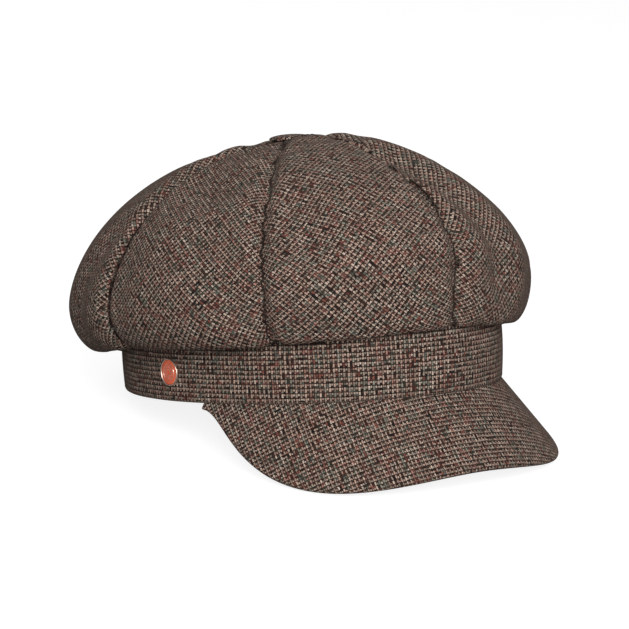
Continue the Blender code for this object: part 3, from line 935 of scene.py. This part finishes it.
def add_band():
    whole = math.pi - REAR_SEAM
    cover = rounded_section(-BAND_THICK, 0.0, 0.0, BAND_HEIGHT, BAND_BULGE, BAND_CORNER, 10)
    add_strip("band_wrap", cover, 0.0, whole, 241, TWEED, "band_cover", BAND_RIPPLE)
    ribbon = rounded_section(-LAYERS_THICK, SWEATBAND_OUT, SWEATBAND_LOW, SWEATBAND_HIGH, 0.0, 0.3 * MM, 6)
    add_strip("sweatband_ribbon", ribbon, 0.0, whole, 181, RIBBON, "sweatband")


def add_stitches():
    """A row of short running stitches round the inside of the sweatband."""
    shape = bmesh.new()
    stretch = Matrix.Diagonal((1.0, 1.0, STITCH_LENGTH / (2 * STITCH_RADIUS), 1.0))
    for number in range(STITCHES):
        angle = 2 * math.pi * number / STITCHES
        angles = (angle, angle + 0.001)
        place, ahead = to_world([around_head(angle, STITCH_OUT, STITCH_HEIGHT) for angle in angles])
        turn = Vector(ahead - place).to_track_quat("Z", "Y").to_matrix().to_4x4()
        grown = Matrix.Translation(Vector(place)) @ turn @ stretch
        bmesh.ops.create_icosphere(shape, subdivisions=1, radius=STITCH_RADIUS, matrix=grown)
    mesh = bpy.data.meshes.new("sweatband_stitches")
    shape.to_mesh(mesh)
    shape.free()
    mesh.shade_smooth()
    add_to_body("cap", mesh, THREAD)


# ---------------------------------------------------------------- the visor

# The visor's edge follows its width round the head. The slope starts inside the band's lower edge.
VISOR_HALF_ARC = math.radians(74.4)
VISOR_WIDTH = 40.7 * MM
VISOR_END_WIDTH = 2.2 * MM
VISOR_SHOULDER = 1.8
VISOR_ROUNDING = (2.84, 1.85)
VISOR_DROP = math.radians(53.0)
VISOR_INSET = 0.6 * MM
VISOR_HALF_THICK = 1.4 * MM
VISOR_BEHIND = (BAND_THICK + SEWN_GAP / 2 - VISOR_INSET) / math.cos(VISOR_DROP)
VISOR_TUCK = 5.0 * MM
VISOR_LIP = 5.0 * MM
VISOR_STATIONS = 121
COVER_SHARE = 0.62


def visor_width(share):
    """The width along the slope, share running from -1 to 1 round the head."""
    flat, round_in = VISOR_ROUNDING
    rounding = (1 - min(1.0, abs(share)) ** flat) ** round_in
    return VISOR_END_WIDTH + (VISOR_WIDTH - VISOR_END_WIDTH) * rounding * (1 + VISOR_SHOULDER * share**2)


def visor_edge(share):
    """Half the thickness of the visor's rounded edge, less where the visor is narrow."""
    return min(VISOR_HALF_THICK, visor_width(share) / 3)


def visor_point(share, reach, depth):
    """A point this far out along the visor's slope and this deep below its top face.

    The slope passes just inside the band's lower edge. Behind the band's cover it turns straight up.
    """
    angle = share * VISOR_HALF_ARC
    out = outward_direction(angle)
    start = around_head(angle, -VISOR_INSET, -VISOR_INSET)
    on_slope = max(reach, -VISOR_BEHIND)
    upwards = on_slope - reach
    level = on_slope * math.cos(VISOR_DROP)
    down = on_slope * math.sin(VISOR_DROP) - upwards
    if upwards > 0:
        level -= depth
    else:
        level -= depth * math.sin(VISOR_DROP)
        down += depth * math.cos(VISOR_DROP)
    return start + out * level - np.array([0.0, 0.0, down])


def visor_place(share, reach):
    """The same point on the flat cloth, the visor opened out as part of a cone."""
    cone = BAND_HALF_LENGTH / math.cos(VISOR_DROP)
    turn = share * VISOR_HALF_ARC * BAND_HALF_LENGTH / cone
    return ((cone + reach) * math.sin(turn), (cone + reach) * math.cos(turn), 0.0)


def top_cover_outline(width, edge):
    """The top cover in section: from behind the band, out over the top, round the edge and back under."""
    cloth = edge * COVER_SHARE
    lip = min(VISOR_LIP, width / 2)
    out_to = width - edge
    tuck = [(-VISOR_TUCK, 0.0), (-VISOR_TUCK / 2, 0.0), (-VISOR_BEHIND, 0.0)]
    outer = tuck + [(out_to * step / 14, 0.0) for step in range(15)]
    turns = [math.pi * step / 8 for step in range(1, 9)]
    outer += [(out_to + edge * math.sin(turn), edge - edge * math.cos(turn)) for turn in turns]
    outer += [(width - lip, 2 * edge)]
    bend = edge - cloth
    inner = [(width - lip, 2 * edge - cloth * 0.8)]
    inner += [(out_to + bend * math.sin(turn), edge - bend * math.cos(turn)) for turn in turns[-2::-1]]
    inner += [(out_to * step / 14, cloth) for step in range(14, -1, -1)]
    inner += [(reach, cloth * 0.8) for reach, _ in reversed(tuck)]
    return outer + inner


def slab_outline(start, end, top, bottom, steps):
    """A flat slab in section, with a softly rounded outer end."""
    shares = np.linspace(0.0, 1.0, steps + 1)
    upper = [(start + (end - start) * share, top) for share in shares]
    nose = (end + (bottom - top) / 2, (top + bottom) / 2)
    lower = [(start + (end - start) * share, bottom) for share in shares[::-1]]
    return upper + [nose] + lower


def board_outline(width, edge):
    return slab_outline(1.0 * MM, max(width - 2.4 * MM, 0.6 * width), 0.72 * edge, 1.42 * edge, 10)


def under_outline(width, edge):
    """The under cover, its outer end just inside the top cover's turned lip."""
    end = max(width - VISOR_LIP - 0.2 * MM, width * 0.45)
    return slab_outline(0.4 * MM, end, 2 * edge - 0.8 * MM, 2 * edge, 12)


def add_visor_piece(name, outline, covered, material, node):
    """One layer of the visor, bent between the band and the visor's outer part."""
    sections, places = [], []
    for share in np.linspace(-covered, covered, VISOR_STATIONS):
        line = outline(visor_width(share), visor_edge(share))
        sections.append([visor_point(share, reach, depth) for reach, depth in line])
        places.append([visor_place(share, reach + depth) for reach, depth in line])
    piece = add_piece(loft_mesh(name, sections, np.array(places)), material, node)
    ends, tip = to_world([visor_point(0.98, 0.0, 0.0), visor_point(0.0, VISOR_WIDTH, 0.0)])
    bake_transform(piece)


def add_visor():
    add_visor_piece("visor_top", top_cover_outline, 1.0, TWEED, "visor_top_cover")
    add_visor_piece("visor_stiffener", board_outline, 0.93, BOARD, "visor_board")
    add_visor_piece("visor_under", under_outline, 0.97, TWEED, "visor_under_cover")


# ---------------------------------------------------------------- the button

BUTTON_RADIUS = 10.5 * MM
BUTTON_HEIGHT = 3.4 * MM
BUTTON_LOW = 0.3 * MM
BUTTON_WAIST = 1.3 * MM
BUTTON_CLOTH = 0.7 * MM
BUTTON_TURN_IN = 2.4 * MM
BUTTON_SPOKES = 96
GATHERS = 14
GATHER_DEPTH = 0.12 * MM


def button_outline():
    """(radius, height) pairs of the covered button, over its dome, round the rim and a little way in."""
    dome_height = BUTTON_HEIGHT - BUTTON_WAIST
    rim_height = BUTTON_WAIST - BUTTON_LOW
    points = []
    for turn in np.linspace(0.0, math.pi / 2, 13):
        points.append((BUTTON_RADIUS * math.sin(turn), BUTTON_WAIST + dome_height * math.cos(turn)))
    for turn in np.linspace(0.0, math.pi / 2, 6)[1:]:
        radius = BUTTON_RADIUS - rim_height * (1 - math.cos(turn))
        points.append((radius, BUTTON_WAIST - rim_height * math.sin(turn)))
    points.append((BUTTON_RADIUS - BUTTON_TURN_IN, BUTTON_LOW))
    return points


def add_button():
    """The covered button: cloth drawn over a dome and gathered round its rim."""
    outline = button_outline()
    run = distances_along(np.array([(radius, height, 0.0) for radius, height in outline]))
    points, places = [], []
    for number, (radius, height) in enumerate(outline):
        share = number / (len(outline) - 1)
        for spoke in range(BUTTON_SPOKES):
            around = 2 * math.pi * spoke / BUTTON_SPOKES
            gathered = radius + GATHER_DEPTH * math.sin(GATHERS * around) * share**3
            x, y = gathered * math.cos(around), gathered * math.sin(around)
            points.append((x, CROWN_TOP_BACK + y, CROWN_TOP + height))
            places.append((run[number] * math.cos(around), run[number] * math.sin(around)))
    mesh = closed_mesh("button_wrap", points, ring_faces(len(outline), BUTTON_SPOKES), places)
    thicken(add_to_body("button", mesh, TWEED, "button_cover"), BUTTON_CLOTH)


# ---------------------------------------------------------------- the badge

BADGE_ANGLE = math.radians(-86.0)
BADGE_HEIGHT = 13.7 * MM
BADGE_RADIUS = 6.4 * MM
BADGE_RIM = 0.7 * MM
BADGE_LOW = 0.3 * MM
BADGE_HIGH = 1.5 * MM
BADGE_RECESS = BADGE_HIGH - 0.45 * MM
BADGE_STEPS = 96
RING_RADIUS = 3.9 * MM
RING_WIDTH = 0.35 * MM
RAYS = 16
RAY_START = 1.1 * MM
RAY_END = 3.2 * MM
RAY_WIDTH = 0.3 * MM


def on_badge(radius, turn, height):
    """A point of the badge, whose axis stands square to the band."""
    out = outward_direction(BADGE_ANGLE)
    up = np.array([0.0, 0.0, 1.0])
    level = np.cross(up, out)
    centre = around_head(BADGE_ANGLE, 0.0, BADGE_HEIGHT)
    return centre + out * height + level * radius * math.cos(turn) + up * radius * math.sin(turn)


def add_turned(name, profile, material, node=None):
    """A piece turned about the badge's axis, from a profile of (radius, height)."""
    points = []
    for radius, height in profile:
        for step in range(BADGE_STEPS):
            points.append(on_badge(radius, 2 * math.pi * step / BADGE_STEPS, height))
    mesh = closed_mesh(name, points, ring_faces(len(profile), BADGE_STEPS))
    add_to_body("cap", mesh, material, node)


def half_round(radius, width, low, high):
    """A raised ring of half-round section, as part of a profile from the axis outwards."""
    turns = np.linspace(0.0, math.pi, 7)
    return [(radius - width / 2 * math.cos(turn), low + (high - low) * math.sin(turn)) for turn in turns]


def add_badge():
    """A gilt setting with an enamel face, and a plain ring and short rays standing in the enamel."""
    inside = BADGE_RADIUS - BADGE_RIM
    rim = half_round(BADGE_RADIUS - BADGE_RIM / 2, BADGE_RIM, BADGE_RECESS, BADGE_HIGH + 0.1 * MM)
    setting = [(0.0, BADGE_RECESS), (inside, BADGE_RECESS)] + rim[1:-1]
    setting += [(BADGE_RADIUS, BADGE_RECESS - 0.1 * MM), (BADGE_RADIUS, BADGE_LOW + 0.2 * MM)]
    setting += [(BADGE_RADIUS - 0.3 * MM, BADGE_LOW), (0.0, BADGE_LOW)]
    add_turned("badge_setting", setting, GILT, "badge_base")

    edge = inside - 0.05 * MM
    floor = BADGE_RECESS + 0.05 * MM
    face = [(edge * share, BADGE_HIGH - 0.12 * MM * share**2) for share in np.linspace(0.0, 0.97, 9)]
    face += [(edge, BADGE_HIGH - 0.3 * MM), (edge, floor), (0.0, floor)]
    add_turned("badge_face", face, ENAMEL, "badge_enamel")

    ring = half_round(RING_RADIUS, RING_WIDTH, BADGE_HIGH - 0.2 * MM, BADGE_HIGH + 0.08 * MM)
    ring.append(ring[0])
    add_turned("badge_ring", ring, GILT)
    add_to_body("cap", rays_mesh(), GILT)


def rays_mesh():
    """Short bars like a clock's marks, long and short in turn, standing just proud of the enamel."""
    low, high = BADGE_HIGH - 0.25 * MM, BADGE_HIGH + 0.06 * MM
    points, faces = [], []
    for ray in range(RAYS):
        turn = 2 * math.pi * ray / RAYS
        start = RAY_START if ray % 2 == 0 else (RAY_START + RAY_END) / 2
        first = len(points)
        for height in (low, high):
            for radius, side in ((start, -1), (RAY_END, -1), (RAY_END, 1), (start, 1)):
                points.append(on_badge(radius, turn + side * RAY_WIDTH / 2 / radius, height))
        sides = [(corner, (corner + 1) % 4, (corner + 1) % 4 + 4, corner + 4) for corner in range(4)]
        for face in sides + [(3, 2, 1, 0), (4, 5, 6, 7)]:
            faces.append(tuple(first + corner for corner in face))
    mesh = closed_mesh("badge_rays", points, faces)
    mesh.shade_flat()
    return mesh


# ---------------------------------------------------------------- the blank label

LABEL_HALF_ARC = math.radians(10.0)
LABEL_LOW = 9.0 * MM
LABEL_HIGH = 22.0 * MM
LABEL_IN = -LAYERS_THICK - 0.75 * MM
LABEL_OUT = -LAYERS_THICK - 0.35 * MM


def add_label():
    section = rounded_section(LABEL_IN, LABEL_OUT, LABEL_LOW, LABEL_HIGH, 0.0, 0.15 * MM, 6)
    add_strip("label_patch", section, math.pi, LABEL_HALF_ARC, 31, LABEL, "size_label")


# ---------------------------------------------------------------- CAD pieces that stay


def dress_cad_nodes():
    looks = {
        "band_interfacing": CANVAS,
        "button_shell": STEEL,
        "button_back": STEEL,
        "button_thread": THREAD,
        "button_stay": FELT,
        "badge_washer": STEEL,
    }
    for name, look in looks.items():
        node = frame["nodes"][name]
        node.data.materials.clear()
        node.data.materials.append(look)


# ---------------------------------------------------------------- the studio


AMBIENT = 0.27
PAPER_GLOW = 0.86
PAPER_REACH = 6.0
LIT_POINT = Vector((0.0, 0.0, 0.07))
# Each light's degrees round the head and above the table, its distance, its width and its watts.
LIGHTS = (
    ("key", -34, 25, 1.6, 0.9, 21.0),
    ("fill", 15, 35, 1.8, 1.2, 5.0),
    ("back", 165, 50, 1.8, 1.2, 3.0),
)
CAMERA_AROUND = math.radians(36.93)
CAMERA_ABOVE = math.radians(14.76)
CAMERA_ROLL = math.radians(3.43)
CAMERA_DISTANCE = 1.30
CAMERA_LENS = 152.8
CAMERA_SHIFT = (0.005, 0.106)


def seen_and_lit(tree, seen, lit):
    """One value for what the camera sees, and another for the light that reaches the cap."""
    camera_ray = tree.nodes.new("ShaderNodeLightPath").outputs["Is Camera Ray"]
    choice = tree.nodes.new("ShaderNodeMapRange")
    tree.links.new(camera_ray, choice.inputs["Value"])
    choice.inputs["To Min"].default_value = lit
    choice.inputs["To Max"].default_value = seen
    return choice.outputs["Result"]


def add_floor():
    """White paper that looks evenly white and still takes a soft shadow."""
    graph = Graph("studio_paper")
    haze = graph.noise(graph.position(), 3.0)
    colour = graph.mix(haze, (0.34, 0.34, 0.34), (0.36, 0.36, 0.36))
    paper = graph.finish(colour, 0.95, emission_color=(1.0, 1.0, 1.0), specular_ior_level=0.0)
    graph.put(seen_and_lit(graph.tree, PAPER_GLOW, 0.0), graph.shader.inputs["Emission Strength"])
    mesh = bpy.data.meshes.new("floor")
    signs = ((-1, -1), (1, -1), (1, 1), (-1, 1))
    corners = [(x * PAPER_REACH, y * PAPER_REACH, 0.0) for x, y in signs]
    mesh.from_pydata(corners, [], [(0, 1, 2, 3)])
    mesh.materials.append(paper)
    add_object("floor", mesh)


def add_light(name, around, above, distance, size, power):
    """A round softbox at these angles round the head and above the table, aimed at the crown."""
    light = bpy.data.lights.new(name, "AREA")
    light.shape = "DISK"
    light.size = size
    light.energy = power
    obj = add_object(name, light)
    level = math.cos(above) * distance
    height = math.sin(above) * distance
    obj.location = LIT_POINT + Vector((math.sin(around) * level, -math.cos(around) * level, height))
    obj.rotation_euler = (LIT_POINT - obj.location).to_track_quat("-Z", "Y").to_euler()


def add_studio():
    add_floor()
    world = bpy.data.worlds.new("studio")
    world.use_nodes = True
    background = world.node_tree.nodes["Background"]
    background.inputs["Color"].default_value = (1.0, 1.0, 1.0, 1.0)
    world.node_tree.links.new(seen_and_lit(world.node_tree, 1.0, AMBIENT), background.inputs["Strength"])
    bpy.context.scene.world = world
    for name, around, above, distance, size, power in LIGHTS:
        add_light(name, math.radians(around), math.radians(above), distance, size, power)


def add_camera():
    """The camera looks from the wearer's front right, a little above the band."""
    level = math.cos(CAMERA_ABOVE)
    toward = Vector(
        (-math.sin(CAMERA_AROUND) * level, -math.cos(CAMERA_AROUND) * level, math.sin(CAMERA_ABOVE))
    )
    right = Vector((math.cos(CAMERA_AROUND), -math.sin(CAMERA_AROUND), 0.0))
    top = toward.cross(right)
    rolled_right = right * math.cos(CAMERA_ROLL) + top * math.sin(CAMERA_ROLL)
    rolled_top = top * math.cos(CAMERA_ROLL) - right * math.sin(CAMERA_ROLL)
    camera = bpy.data.cameras.new("camera")
    camera.lens = CAMERA_LENS
    camera.shift_x, camera.shift_y = CAMERA_SHIFT
    obj = add_object("camera", camera)
    turn = Matrix((rolled_right, rolled_top, toward)).transposed().to_4x4()
    obj.matrix_world = Matrix.Translation(HEAD_ORIGIN + toward * CAMERA_DISTANCE) @ turn
    bpy.context.scene.camera = obj


add_crown()
add_lining()
add_band()
add_stitches()
add_visor()
add_button()
add_badge()
add_label()
dress_cad_nodes()
add_studio()
add_camera()
bpy.context.scene.view_settings.view_transform = "Standard"
